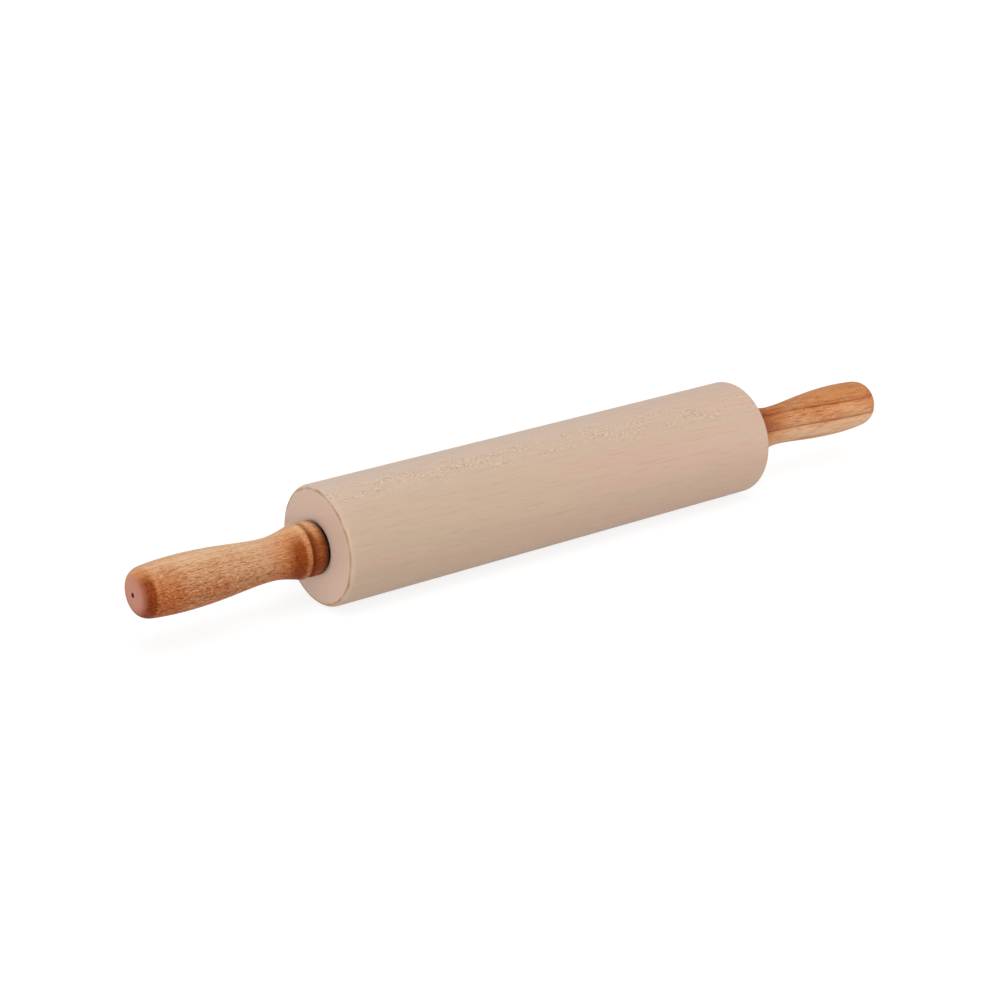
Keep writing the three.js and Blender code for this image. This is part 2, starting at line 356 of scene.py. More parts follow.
def make_mesh(
    name: str, tree: Tree, inputs: dict[str, Any], outline: Sequence[Point] = ()
) -> bpy.types.Object:
    """Runs a tree and keeps what it makes as a plain mesh.

    Args:
        name: Name of the piece.
        tree: Geometry Nodes tree.
        inputs: Value of each named input.
        outline: Points of the outline that the tree turns, if it turns one.

    Returns:
        The piece, at the origin, with its place in its mesh.
    """
    kept = [p for i, p in enumerate(outline) if i == 0 or math.dist(p, outline[i - 1]) > WELD_MM]
    start = bpy.data.meshes.new(f"{name}_outline")
    corners = [(along * MM, 0.0, radius * MM) for along, radius in kept]
    start.from_pydata(corners, [(i, i + 1) for i in range(len(kept) - 1)], [])
    piece = bpy.data.objects.new(name, start)
    bpy.context.scene.collection.objects.link(piece)
    modifier = piece.modifiers.new(tree.name, "NODES")
    modifier.node_group = tree
    for item in tree.interface.items_tree:
        if item.in_out == "INPUT" and item.name in inputs:
            modifier[item.identifier] = inputs[item.name]
    graph = bpy.context.evaluated_depsgraph_get()
    done = piece.evaluated_get(graph)
    mesh = bpy.data.meshes.new_from_object(done, preserve_all_data_layers=True, depsgraph=graph)
    piece.modifiers.remove(modifier)
    piece.data = mesh
    mesh.name = name
    bpy.data.meshes.remove(start)
    shell = bmesh.new()
    shell.from_mesh(mesh)
    bmesh.ops.remove_doubles(shell, verts=shell.verts, dist=WELD_MM * MM)
    bmesh.ops.recalc_face_normals(shell, faces=shell.faces)
    shell.to_mesh(mesh)
    shell.free()
    return piece


# Finishes


@dataclass(frozen=True)
class Fade:
    """Change of one value with another, even between two ends and level beyond them.

    Attributes:
        start: Value where the change starts.
        end: Value where it ends.
        least: What is given up to the start.
        most: What is given from the end on.
    """

    start: float = 0.0
    end: float = 1.0
    least: float = 0.0
    most: float = 1.0

    def of(self, value: Any) -> dict[str | int, Any]:
        """Inputs of a Map Range node that gives the change with a value."""
        ends = {"From Min": self.start, "From Max": self.end, "To Min": self.least, "To Max": self.most}
        return {"Value": value, **ends}


@dataclass(frozen=True)
class Marks:
    """Soft random marks of a real size, such as flecks, clouds or pores.

    Attributes:
        along: Length of a mark along the pin's axis, in millimetres.
        across: Width of a mark across the axis, in millimetres.
        fade: Strength at each level of the noise.
        detail: Finer steps in the noise.
    """

    along: float
    across: float
    fade: Fade = Fade()
    detail: float = 2.0

    def draw(self, tree: Tree, place: Any) -> Node:
        """Adds the marks to a material.

        Args:
            tree: Material's tree.
            place: Coordinates in millimetres that the marks lie on.

        Returns:
            Node that gives their strength.
        """
        scale = (1 / self.along, 1 / self.across, 1 / self.across)
        mapped = add_node(tree, "ShaderNodeMapping", {"Vector": place, "Scale": scale})
        noise = add_node(tree, "ShaderNodeTexNoise", {"Vector": mapped, "Scale": 1.0, "Detail": self.detail})
        return add_node(tree, "ShaderNodeMapRange", self.fade.of(noise))


@dataclass(frozen=True)
class Finish(ABC):
    """What a surface is made of and how it was made.

    Attributes:
        name: Name of the material.
        rough: Roughness between its marks and in them.
        relief: How much of the marks' relief shows, and its height in millimetres.
        sunk: Whether the marks lie lower than the rest.
        shine: Level of the clear reflection.
    """

    name: str
    rough: Pair = (0.5, 0.5)
    relief: Pair = (0.2, 0.02)
    sunk: bool = False
    shine: float = 0.5

    def material(self) -> bpy.types.Material:
        """Gives the finish's material, made at the first call.

        Returns:
            The material.
        """
        known = bpy.data.materials.get(self.name)
        if known:
            return known
        made = bpy.data.materials.new(self.name)
        made.use_nodes = True
        tree = made.node_tree
        tree.nodes.clear()
        metres = add_node(tree, "ShaderNodeTexCoord").outputs["Object"]
        place = add_node(tree, "ShaderNodeMapping", {"Vector": metres, "Scale": (1 / MM, 1 / MM, 1 / MM)})
        shader = add_node(tree, "ShaderNodeBsdfPrincipled", self.surface(tree, place))
        add_node(tree, "ShaderNodeOutputMaterial", {"Surface": shader})
        return made

    @abstractmethod
    def surface(self, tree: Tree, place: Node) -> dict[str, Any]:
        """Draws the finish's patterns.

        Args:
            tree: Material's tree.
            place: Object coordinates in millimetres.

        Returns:
            What goes into each input of the Principled shader.
        """

    def skin(self, tree: Tree, colour: Any, marks: Any, height: Any) -> dict[str, Any]:
        """Makes the marks of a surface rougher, and higher or lower than the rest.

        Args:
            tree: Material's tree.
            colour: Colour of the surface.
            marks: Strength of the marks.
            height: Strength of their relief.

        Returns:
            What goes into each input of the Principled shader.
        """
        rough = add_node(tree, "ShaderNodeMapRange", Fade(0.0, 1.0, *self.rough).of(marks))
        strength, depth = self.relief
        heights = {"Strength": strength, "Distance": depth * MM, "Height": height}
        bump = add_node(tree, "ShaderNodeBump", heights, invert=self.sunk)
        return {"Base Color": colour, "Roughness": rough, "Normal": bump, "Specular IOR Level": self.shine}

    def layered(self, tree: Tree, base: Any, layers: Sequence[tuple[Any, Any]], blend: str = "MIX") -> Any:
        """Lays colours over each other.

        Args:
            tree: Material's tree.
            base: Lowest colour.
            layers: Strength and colour of each layer, the lowest first.
            blend: How a layer covers: MIX like paint, or MULTIPLY like dye.

        Returns:
            Node that gives the colour on top.
        """
        for strength, colour in layers:
            cover = {"Factor": strength, "A": base, "B": colour}
            base = add_node(tree, "ShaderNodeMix", cover, data_type="RGBA", blend_type=blend)
        return base

    def profile(self, tree: Tree, measure: Node, span: Fade, steps: Steps) -> Node:
        """Draws a strength that changes in steps with a measure.

        Args:
            tree: Material's tree.
            measure: Node that gives the measure, in millimetres.
            span: Range of the measure that holds the steps.
            steps: Values of the measure, and strengths.

        Returns:
            Node that gives the strength.
        """
        share = add_node(tree, "ShaderNodeMapRange", span.of(measure))
        stops = [((value - span.start) / (span.end - span.start), level) for value, level in steps]
        return add_node(tree, "ShaderNodeValToRGB", {0: share}, stops)

    def off_axis(self, tree: Tree, place: Node) -> Node:
        """Node that gives the distance from the X axis."""
        flat = add_node(tree, "ShaderNodeVectorMath", {0: place, 1: ACROSS}, operation="MULTIPLY")
        return add_node(tree, "ShaderNodeVectorMath", {0: flat}, operation="LENGTH")


@dataclass(frozen=True)
class Log:
    """How a piece was cut from the tree. Lengths in millimetres.

    Attributes:
        pith: Place of the tree's middle across the piece's axis, Y and Z.
        ring: Width of a year's growth.
        wander: How far a growth ring strays.
        twist: Turn of the grain round the piece, in degrees for each millimetre of length.
        bend: Length and width of a stray.
        year: Shares of a year's growth, and how dark the wood is there. It darkens slowly up to the thin line
            of late wood, and pales fast.
    """

    pith: Pair
    ring: float
    wander: float
    twist: float = 0.0
    bend: Pair = (110.0, 12.0)
    year: Steps = ((0.0, 0.2), (0.15, 0.0), (0.7, 0.2), (0.88, 0.45), (0.95, 1.0), (1.0, 0.2))

    @property
    def middle(self) -> float:
        """Distance of the piece's axis from the pith."""
        return math.hypot(*self.pith)

    def grain(self, tree: Tree, place: Node, vector: Any) -> Node:
        """Turns a vector with the grain.

        Args:
            tree: Material's tree.
            place: Coordinates.
            vector: The coordinates themselves, or a normal at that place.

        Returns:
            Node that gives the vector as it is seen along the grain.
        """
        axes = add_node(tree, "ShaderNodeSeparateXYZ", {0: place})
        rate = -math.radians(self.twist)
        angle = add_node(tree, "ShaderNodeMath", {0: axes, 1: rate}, operation="MULTIPLY")
        turn = {"Vector": vector, "Angle": angle}
        return add_node(tree, "ShaderNodeVectorRotate", turn, rotation_type="X_AXIS")

    def outward(self, tree: Tree, grain: Node) -> Node:
        """Node that gives the way from the pith out to where the wood grew."""
        way = add_node(tree, "ShaderNodeVectorMath", {0: grain, 1: (0.0, *self.pith)}, operation="SUBTRACT")
        return add_node(tree, "ShaderNodeVectorMath", {0: way, 1: ACROSS}, operation="MULTIPLY")

    def age(self, tree: Tree, grain: Node) -> Node:
        """Node that gives the distance from the pith."""
        return add_node(tree, "ShaderNodeVectorMath", {0: self.outward(tree, grain)}, operation="LENGTH")

    def rings(self, tree: Tree, grain: Node, strength: float) -> Node:
        """Draws the growth rings.

        Args:
            tree: Material's tree.
            grain: Coordinates along the grain.
            strength: Strength of a ring's darkest line.

        Returns:
            Node that gives the strength.
        """
        stray = Marks(*self.bend, Fade(most=self.wander)).draw(tree, grain)
        bent = add_node(tree, "ShaderNodeMath", {0: stray, 1: self.age(tree, grain)}, operation="ADD")
        years = add_node(tree, "ShaderNodeMath", {0: bent, 1: self.ring}, operation="DIVIDE")
        year = add_node(tree, "ShaderNodeMath", {0: years}, operation="FRACT")
        stops = [(share, dark * strength) for share, dark in self.year]
        return add_node(tree, "ShaderNodeValToRGB", {0: year}, stops)


@dataclass(frozen=True)
class SandedMaple(Finish):
    """Hard maple, turned, sanded and lightly oiled.

    It is pale and nearly even, with soft growth bands and short fine dashes of vessels along the grain. It is
    painted paler on the side of the pith, which lies up and behind, above all at the left end, as a painted
    sheen of the light from above; and it is rosier towards the right end. Ray flecks show where the cut runs
    straight out from the pith. The end grain is pinker, inside a fine brown line, with a painted highlight
    along the end face's edge.
    """

    name: str = "sanded_hard_maple"
    rough: Pair = (0.52, 0.75)
    relief: Pair = (0.35, 0.08)
    sunk: bool = True
    shine: float = 0.35
    tan: str = "#CDB39A"
    pale: str = "#D0B49B"
    rosy: str = "#D2B19C"
    # colour of a painted sheen of the light from above, on the side of the pith
    painted_sheen: str = "#D6BEAC"
    late_wood: str = "#B89679"
    vessel: str = "#A88369"
    ray_dark: str = "#B08B6E"
    ray_light: str = "#E2CFBC"
    end_grain: str = "#D7B9A7"
    # painted highlight along the edge of the end face
    edge: str = "#DEBE9F"
    line: str = "#9A7049"
    log: Log = Log(pith=(84.0, 71.0), ring=3.6, wander=5.0, twist=0.055)
    lines: float = 0.13  # strength of a growth ring
    clouds: Marks = Marks(120.0, 10.0, Fade(0.35, 0.65), detail=3.0)
    blush: Fade = Fade(-BARREL_HALF, BARREL_HALF, -0.3, 0.3)  # how much rosier along the barrel
    # painted sheen: how much of it lies along the barrel, most at the left end
    sheen_ends: Fade = Fade(-BARREL_HALF, BARREL_HALF, 1.0, 0.25)  # how much paler along the barrel
    sheen_side: Pair = (9.0, -12.0)  # distances past the axis, as seen from the pith
    # Real vessels are 0.1 mm wide. They are drawn 0.5 mm wide, so that they show.
    dashes: Marks = Marks(13.0, 0.55, Fade(0.53, 0.78, most=0.34))
    # Real rays are 0.2 mm wide. They are drawn about 1 mm wide, so that they show.
    ray: Marks = Marks(1.2, 0.8)
    ray_levels: tuple[float, float, float] = (0.38, 0.5, 0.62)  # light, plain and dark
    ray_patches: Marks = Marks(14.0, 5.0, Fade(0.42, 0.62, 0.06, 0.52))
    quarter: Fade = Fade(0.34, 0.1)  # slant of the cut at which rays show
    face_radius: float = 26.0
    face_fade: Fade = Fade(0.2, -0.3)  # distances past the face's radius, as in the next three
    rim: Fade = Fade(-1.0, 3.0)
    # where the painted highlight along the face's edge lies
    highlight_band: Steps = ((-0.6, 0.0), (-0.2, 0.6), (0.2, 0.6), (0.6, 0.0))
    line_band: Steps = ((0.12, 0.0), (0.68, 1.0), (1.0, 1.0), (1.72, 0.0))
    line_stray: Marks = Marks(9.0, 9.0, Fade(0.25, 0.75, -0.5, 0.5))
    line_wear: Marks = Marks(7.0, 7.0, Fade(0.35, 0.65, 0.25, 0.85))
    pores: Marks = Marks(2.0, 0.9, Fade(0.3, 0.7, 0.98, 1.015))

    def rays(self, tree: Tree, place: Node, grain: Node) -> tuple[Node, Node]:
        """Draws the ray flecks.

        Args:
            tree: Material's tree.
            place: Object coordinates in millimetres.
            grain: The same along the grain.

        Returns:
            Nodes that give the flecks' strength and colour.
        """
        way = self.log.outward(tree, grain)
        out = add_node(tree, "ShaderNodeVectorMath", {0: way}, operation="NORMALIZE")
        normal = self.log.grain(tree, place, add_node(tree, "ShaderNodeTexCoord").outputs["Normal"])
        facing = add_node(tree, "ShaderNodeVectorMath", {0: normal, 1: out}, operation="DOT_PRODUCT")
        slant = add_node(tree, "ShaderNodeMath", {0: facing}, operation="ABSOLUTE")
        cut = self.quarter.of(slant)
        quarter = add_node(tree, "ShaderNodeMapRange", cut, interpolation_type="SMOOTHSTEP")
        patches = self.ray_patches.draw(tree, grain)
        strength = add_node(tree, "ShaderNodeMath", {0: quarter, 1: patches}, operation="MULTIPLY")
        stops = tuple(zip(self.ray_levels, (self.ray_light, self.pale, self.ray_dark)))
        return strength, add_node(tree, "ShaderNodeValToRGB", {0: self.ray.draw(tree, grain)}, stops)

    def rim_line(self, tree: Tree, place: Node, past: Node) -> tuple[Node, Node]:
        """Draws the painted highlight along the edge of an end face, and the brown line round it.

        Args:
            tree: Material's tree.
            place: Object coordinates in millimetres.
            past: Distance past the face's radius.

        Returns:
            Nodes that give the strength of the painted highlight and of the line.
        """
        stray = self.line_stray.draw(tree, place)
        wavering = add_node(tree, "ShaderNodeMath", {0: past, 1: stray}, operation="ADD")
        # edge is the painted highlight along the face's edge
        edge, band = (self.profile(tree, wavering, self.rim, b) for b in (self.highlight_band, self.line_band))
        worn = self.line_wear.draw(tree, place)
        return edge, add_node(tree, "ShaderNodeMath", {0: band, 1: worn}, operation="MULTIPLY")

    def surface(self, tree: Tree, place: Node) -> dict[str, Any]:
        """Draws the grain, the rays and the end grain.

        Args:
            tree: Material's tree.
            place: Object coordinates in millimetres.

        Returns:
            What goes into each input of the Principled shader.
        """
        grain = self.log.grain(tree, place, place)
        along = add_node(tree, "ShaderNodeSeparateXYZ", {0: place})
        blush = add_node(tree, "ShaderNodeMapRange", self.blush.of(along))
        clouds = self.clouds.draw(tree, grain)
        clouded = add_node(tree, "ShaderNodeMath", {0: clouds, 1: blush}, operation="ADD")
        tones = ((0.0, self.tan), (0.5, self.pale), (1.0, self.rosy))
        tint = add_node(tree, "ShaderNodeValToRGB", {0: clouded}, tones)
        # Painted sheen: paler on the side of the pith, which lies up and behind, and most at the left end.
        side = Fade(*(self.log.middle + past for past in self.sheen_side))
        inner = add_node(tree, "ShaderNodeMapRange", side.of(self.log.age(tree, grain)))
        near = add_node(tree, "ShaderNodeMapRange", self.sheen_ends.of(along))
        painted_sheen_share = add_node(tree, "ShaderNodeMath", {0: inner, 1: near}, operation="MULTIPLY")
        late = self.log.rings(tree, grain, self.lines)
        dashes = self.dashes.draw(tree, grain)
        rays, ray_tone = self.rays(tree, place, grain)

        outside = {0: self.off_axis(tree, place), 1: self.face_radius}
        past = add_node(tree, "ShaderNodeMath", outside, operation="SUBTRACT")
        inside = add_node(tree, "ShaderNodeMapRange", self.face_fade.of(past))
        edge, line = self.rim_line(tree, place, past)
        end = {0: linear(self.end_grain)[:3], "Scale": self.pores.draw(tree, place)}
        end_tone = add_node(tree, "ShaderNodeVectorMath", end, operation="SCALE")
        layers = (
            # painted sheen
            (painted_sheen_share, self.painted_sheen),
            (late, self.late_wood),
            (dashes, self.vessel),
            (rays, ray_tone),
            (inside, end_tone),
            # painted highlight along the face's edge
            (edge, self.edge),
            (line, self.line),
        )
        relief = {"Value": inside, "To Min": dashes, "To Max": 0.0}
        height = add_node(tree, "ShaderNodeMapRange", relief)
        return self.skin(tree, self.layered(tree, tint, layers), dashes, height)


@dataclass(frozen=True)
class StainedBeech(Finish):
    """Beech, turned, stained and satin varnished.

    It is orange brown, redder and darker towards the heart of the tree, with thin growth lines and a dense
    scatter of short brown flecks along the grain. On the near handle the heart lies low at the front, so this
    change also paints shade on the handle's lower front and light on its top, and the heart side, which is
    stained deeper, paints more of that shade. It is stained deeper in the groove, in the foot of the cove
    and in a band round the tip, as painted shade, and less on the bead's crest, as a painted highlight. The
    groove and the collar's edge are painted nearly black as shade, the vent is painted dark as shade, and
    the end grain of the tip is pinker. The varnish gives a soft gloss.

    Attributes:
        heart: Colour of the wood next to the pith.
        sap: Colour of the wood far from it, and of its pores.
        light_dye: What half the stain leaves of the wood's colour.
        dye: What all of it leaves, and what flecks and growth lines leave.
        shade_brown: Colour of the painted shade in the groove, on the collar's edge and in the vent.
        cap: Colour of the end grain.
        log: How the piece was cut.
        drift: How far from the middle the wood is all heart or all sap, in millimetres.
        clouds: Random share of sapwood.
        sapwood: How much more of it there is at the barrel's end and at the tip.
        lines: Strength of a growth line.
        flecks: Brown flecks.
        fleck_fade: Strength of the flecks by the share of sapwood.
        pores: Pale pores.
        face: Place of the barrel's end, in millimetres.
        length: Barrel's end to the tip, in millimetres.
        thirst_and_shade: How deeply the wood is stained, by its age from heart to sap. The heart side is
            stained deeper,
        which also paints shade where the heart lies, low at the front of the near handle.
        stain: Distances from the barrel's end in millimetres, and how deeply the wood is stained there. This
            also
        paints shade in the groove, in the foot of the cove and in a band round the tip, and a highlight on
        the bead's crest.
        painted_shade: The same for the painted shade on the collar's edge next to the barrel and in the
            groove.
        end: The same for the end grain.
        vent: Distance from the axis in millimetres up to which the tip is painted dark, as shade in the vent.
    """

    rough: Pair = (0.52, 0.68)
    relief: Pair = (0.3, 0.06)
    sunk: bool = True
    shine: float = 0.12
    heart: str = "#C47C4A"
    sap: str = "#ECC299"
    light_dye: str = "#EFD1B6"
    dye: str = "#AF743C"
    # colour of painted shade
    shade_brown: str = "#4E2410"
    cap: str = "#C98C78"
    # The pith lies low at the front, so the darker heart side paints shade on the underside and the paler sap
    # side paints light on the top.
    log: Log = Log(pith=(-30.0, -28.0), ring=3.1, wander=3.0)
    drift: float = 10.0
    clouds: Marks = Marks(34.0, 7.0, detail=3.0)
    sapwood: Pair = (0.26, -0.1)
    lines: float = 0.35
    # Real flecks and pores are 0.1 to 0.2 mm wide. They are drawn up to 0.6 mm wide, so that they show.
    flecks: Marks = Marks(3.4, 0.36, Fade(0.48, 0.68, most=0.85), detail=1.0)
    fleck_fade: Fade = Fade(0.2, 0.9, 1.0, 0.5)
    pores: Marks = Marks(1.4, 0.5, Fade(0.5, 0.7, most=0.75), detail=1.0)
    face: float = BARREL_HALF
    length: float = 94.7
    # painted shade: stained deeper on the heart side
    thirst_and_shade: Fade = Fade(-0.05, 0.42, 1.1, 0.3)
    # Also painted shade in the groove, the foot of the cove and a band round the tip, and a painted highlight
    # on the bead's crest.
    stain: Steps = (
        *((2.2, 0.9), (4.5, 0.85), (6.3, 0.8)),  # collar
        *((7.1, 1.0), (7.8, 1.3), (9.4, 1.3)),  # groove
        *((10.3, 0.52), (11.2, 0.45), (12.2, 0.54)),  # bead
        *((13.2, 0.86), (14.5, 1.0), (17.0, 0.92), (19.0, 0.77), (22.0, 0.54), (25.0, 0.36)),  # cove
        *((33.0, 0.0), (72.0, 0.0), (80.0, 0.45), (85.0, 0.45)),  # neck and grip
        *((88.3, 0.47), (89.8, 0.92), (91.2, 1.1)),  # tip
    )
    painted_shade: Steps = (
        # painted shade on the collar's edge next to the barrel
        *((1.9, 0.92), (2.7, 0.76), (3.7, 0.36), (5.2, 0.0)),  # collar's edge
        # painted shade in the groove
        *((6.9, 0.0), (7.5, 0.38), (8.4, 0.38), (9.2, 0.0)),  # groove
    )
    end: Steps = ((92.5, 0.0), (93.8, 0.34), (94.2, 0.6), (94.5, 0.93))
    # painted shade in the vent
    vent: Fade = Fade(1.35, 1.05)

    def surface(self, tree: Tree, place: Node) -> dict[str, Any]:
        """Draws the grain, the flecks and the stain.

        Args:
            tree: Material's tree.
            place: Object coordinates in millimetres.

        Returns:
            What goes into each input of the Principled shader.
        """
        grain = self.log.grain(tree, place, place)
        along = add_node(tree, "ShaderNodeSeparateXYZ", {0: place})
        reach = add_node(tree, "ShaderNodeMath", {0: along}, operation="ABSOLUTE")
        out = add_node(tree, "ShaderNodeMath", {0: reach, 1: self.face}, operation="SUBTRACT")
        span = Fade(0.0, self.length)
        drift = Fade(self.log.middle - self.drift, self.log.middle + self.drift, -0.5, 0.5)
        age = add_node(tree, "ShaderNodeMapRange", drift.of(self.log.age(tree, grain)))
        slope = add_node(tree, "ShaderNodeMapRange", Fade(0.0, self.length, *self.sapwood).of(out))
        clouds = self.clouds.draw(tree, grain)
        clouded = add_node(tree, "ShaderNodeMath", {0: age, 1: clouds}, operation="ADD")
        sappy = add_node(tree, "ShaderNodeMath", {0: clouded, 1: slope}, operation="ADD")
        # Stained deeper on the heart side, which also paints shade on the near handle's lower front.
        thirst_and_shade = add_node(tree, "ShaderNodeMapRange", self.thirst_and_shade.of(age))
        taken = {0: self.profile(tree, out, span, self.stain), 1: thirst_and_shade}
        stain = add_node(tree, "ShaderNodeMath", taken, operation="MULTIPLY", use_clamp=True)
        fade = add_node(tree, "ShaderNodeMapRange", self.fleck_fade.of(sappy))
        scatter = self.flecks.draw(tree, grain)
        flecks = add_node(tree, "ShaderNodeMath", {0: scatter, 1: fade}, operation="MULTIPLY")
        pores = self.pores.draw(tree, grain)
        rings = self.log.rings(tree, grain, self.lines)
        # painted shade in the vent
        vent = add_node(tree, "ShaderNodeMapRange", self.vent.of(self.off_axis(tree, place)))

        wood = self.layered(tree, self.heart, ((sappy, self.sap), (pores, self.sap)))
        depths = ((0.0, 1.0), (0.5, self.light_dye), (1.0, self.dye))
        soaked = add_node(tree, "ShaderNodeValToRGB", {0: stain}, depths)
        dyes = ((1.0, soaked), (rings, self.dye), (flecks, self.dye))
        dyed = self.layered(tree, wood, dyes, "MULTIPLY")
        painted_shade, end = (self.profile(tree, out, span, steps) for steps in (self.painted_shade, self.end))
        # painted shade on the collar's edge, in the groove and in the vent
        colour = self.layered(tree, dyed, ((painted_shade, self.shade_brown), (end, self.cap), (vent, self.shade_brown)))
        return self.skin(tree, colour, flecks, flecks)


# The two handles were cut from different boards.
WOODS: dict[Side, StainedBeech] = {
    Side.LEFT: StainedBeech("stained_varnished_beech_near"),
    Side.RIGHT: StainedBeech(
        "stained_varnished_beech_far",
        heart="#CF8A51",
        sap="#FCD8B4",
        log=Log(pith=(56.8, 47.0), ring=8.4, wander=1.0, twist=0.28),
        sapwood=(-0.18, -0.18),
        lines=0.85,
        flecks=Marks(18.0, 0.6, Fade(0.48, 0.68, most=0.5), detail=1.0),
        pores=Marks(1.4, 0.5, Fade(0.5, 0.7, most=0.25), detail=1.0),
        # As on the near handle: a painted highlight on the bead's crest, painted shade in the groove and the
        # foot of the cove.
        stain=(
            *((2.2, 0.7), (6.3, 0.5), (7.8, 1.0), (9.7, 1.0), (10.5, 0.5)),  # collar, groove and bead
            *((13.0, 0.8), (24.0, 0.45), (34.0, 0.0), (88.0, 0.0), (92.0, 0.25)),  # cove to tip
        ),
    ),
}


class SteelMake(Enum):
    """How a steel surface was made."""

    DRAWN = "drawn"
    GROUND = "ground"
    PRESSED = "pressed"


@dataclass(frozen=True)
class Steel(Finish):
    """Plain steel. A drawn bar has lines along it, and a ground or pressed piece has lines round the axis.

    Attributes:
        make: How the surface was made.
        bright: Colour of the metal.
        dull: Colour in the lines.
        lines: Lines that the tool left.
    """

    rough: Pair = (0.28, 0.45)
    relief: Pair = (0.2, 0.01)
    make: SteelMake = SteelMake.DRAWN
    bright: str = "#D4D5D8"
    dull: str = "#A9ABAF"
    lines: Marks = Marks(24.0, 0.3, Fade(0.35, 0.7), detail=3.0)

    def surface(self, tree: Tree, place: Node) -> dict[str, Any]:
        """Draws the lines that the tool left.

        Args:
            tree: Material's tree.
            place: Object coordinates in millimetres.

        Returns:
            What goes into each input of the Principled shader.
        """
        path = place
        if self.make is not SteelMake.DRAWN:
            x, y, z = add_node(tree, "ShaderNodeSeparateXYZ", {0: place}).outputs
            radius = self.off_axis(tree, place)
            turn = add_node(tree, "ShaderNodeMath", {0: y, 1: z}, operation="ARCTAN2")
            way = add_node(tree, "ShaderNodeMath", {0: turn, 1: radius}, operation="MULTIPLY")
            path = add_node(tree, "ShaderNodeCombineXYZ", {"X": way, "Y": radius, "Z": x})
        lines = self.lines.draw(tree, path)
        colour = self.layered(tree, self.bright, ((lines, self.dull),))
        return {**self.skin(tree, colour, lines, lines), "Metallic": 1.0}


@dataclass(frozen=True)
class MouldedNylon(Finish):
    """Natural nylon from a mould: milky, faintly clouded, with a dull gloss and a faint mould texture."""

    name: str = "moulded_natural_nylon"
    rough: Pair = (0.42, 0.56)
    relief: Pair = (0.2, 0.02)
    milky: str = "#E9E4D6"
    cloudy: str = "#DAD3C1"
    clouds: Marks = Marks(2.5, 2.5, detail=4.0)

    def surface(self, tree: Tree, place: Node) -> dict[str, Any]:
        """Draws the clouds and the mould texture.

        Args:
            tree: Material's tree.
            place: Object coordinates in millimetres.

        Returns:
            What goes into each input of the Principled shader.
        """
        clouds = self.clouds.draw(tree, place)
        colour = self.layered(tree, self.milky, ((clouds, self.cloudy),))
        return self.skin(tree, colour, clouds, clouds)


# Pieces


def seat(piece: bpy.types.Object, body: str, node: str) -> None:
    """Sets a finished piece on its body in place of a solid, and reports it.

    Args:
        piece: The piece.
        body: Body that it moves with.
        node: Solid that it stands for.
    """
    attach(piece, body)
    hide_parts(node)
    LOG.info("%s: %d faces on %s, for %s", piece.name, len(piece.data.polygons), body, node)


@dataclass
class Lathe:
    """The tree that turns pieces, and the angle in degrees above which an edge stays sharp."""

    crease: float = 32.0
    turned: Tree = field(default_factory=turned_tree)

    def placing(self, finish: Finish, facing: float = 0.0, place: float = 0.0) -> dict[str, Any]:
        """Gives the inputs that all trees share.

        Args:
            finish: Finish of the piece.
            facing: Turn about Z, in radians.
            place: Shift along X, in millimetres.

        Returns:
            Value of each input.
        """
        return {
            "Crease": math.radians(self.crease),
            "Facing": facing,
            "Place": place * MM,
            "Finish": finish.material(),
        }

    def turn(
        self,
        name: str,
        outline: Sequence[Point],
        segments: int,
        finish: Finish,
        facing: float = 0.0,
        place: float = 0.0,
    ) -> bpy.types.Object:
        """Turns a piece.

        Args:
            name: Name of the piece.
            outline: Its outline, closed by repeating the first point or ended on the axis.
            segments: Facets round it.
            finish: Its finish.
            facing: Turn about Z, in radians.
            place: Shift along X, in millimetres.

        Returns:
            The piece.
        """
        inputs = {"Segments": segments, **self.placing(finish, facing, place)}
        return make_mesh(name, self.turned, inputs, outline)


@dataclass
class Barrel:
    """Barrel with rounded edges, a bore and a seat for a bearing in each end. Sizes in millimetres."""

    half_length: float = BARREL_HALF
    radius: float = 28.51  # inside the flats of the solid
    edge_round: float = 2.5
    line_width: float = 0.4
    line_depth: float = 0.06
    bore: float = 5.0
    seat_radius: float = 11.05
    seat_depth: float = 7.55
    seat_chamfer: float = 0.25
    loops: int = 12
    edge_steps: int = 10
    segments: int = 240
    finish: Finish = SandedMaple()

    def half_outline(self) -> list[Point]:
        """Gives the half towards +X.

        Returns:
            Points from the middle of the barrel's side over its end to the bore.
        """
        end, face = self.half_length, self.radius - self.edge_round
        floor = end - self.seat_depth
        round_from = end - self.edge_round
        side = [(round_from * i / self.loops, self.radius) for i in range(self.loops)]
        rounding = arc((round_from, face), self.edge_round, 0, 90, self.edge_steps)
        line = [
            (end - self.line_depth, face - self.line_width / 2),
            (end, face - self.line_width),
            (end, face - 2 * self.line_width),
        ]
        mouth = [(end, self.seat_radius + self.seat_chamfer), (end - self.seat_chamfer, self.seat_radius)]
        inside = [(floor, self.seat_radius), (floor, self.bore)]
        return [*side, *rounding, *line, *mouth, *inside]

    def build(self, lathe: Lathe) -> None:
        """Turns the barrel.

        Args:
            lathe: Tree that turns it.
        """
        outline = closed(mirrored(self.half_outline()))
        piece = lathe.turn("maple_barrel", outline, self.segments, self.finish)
        seat(piece, "barrel", "barrel")


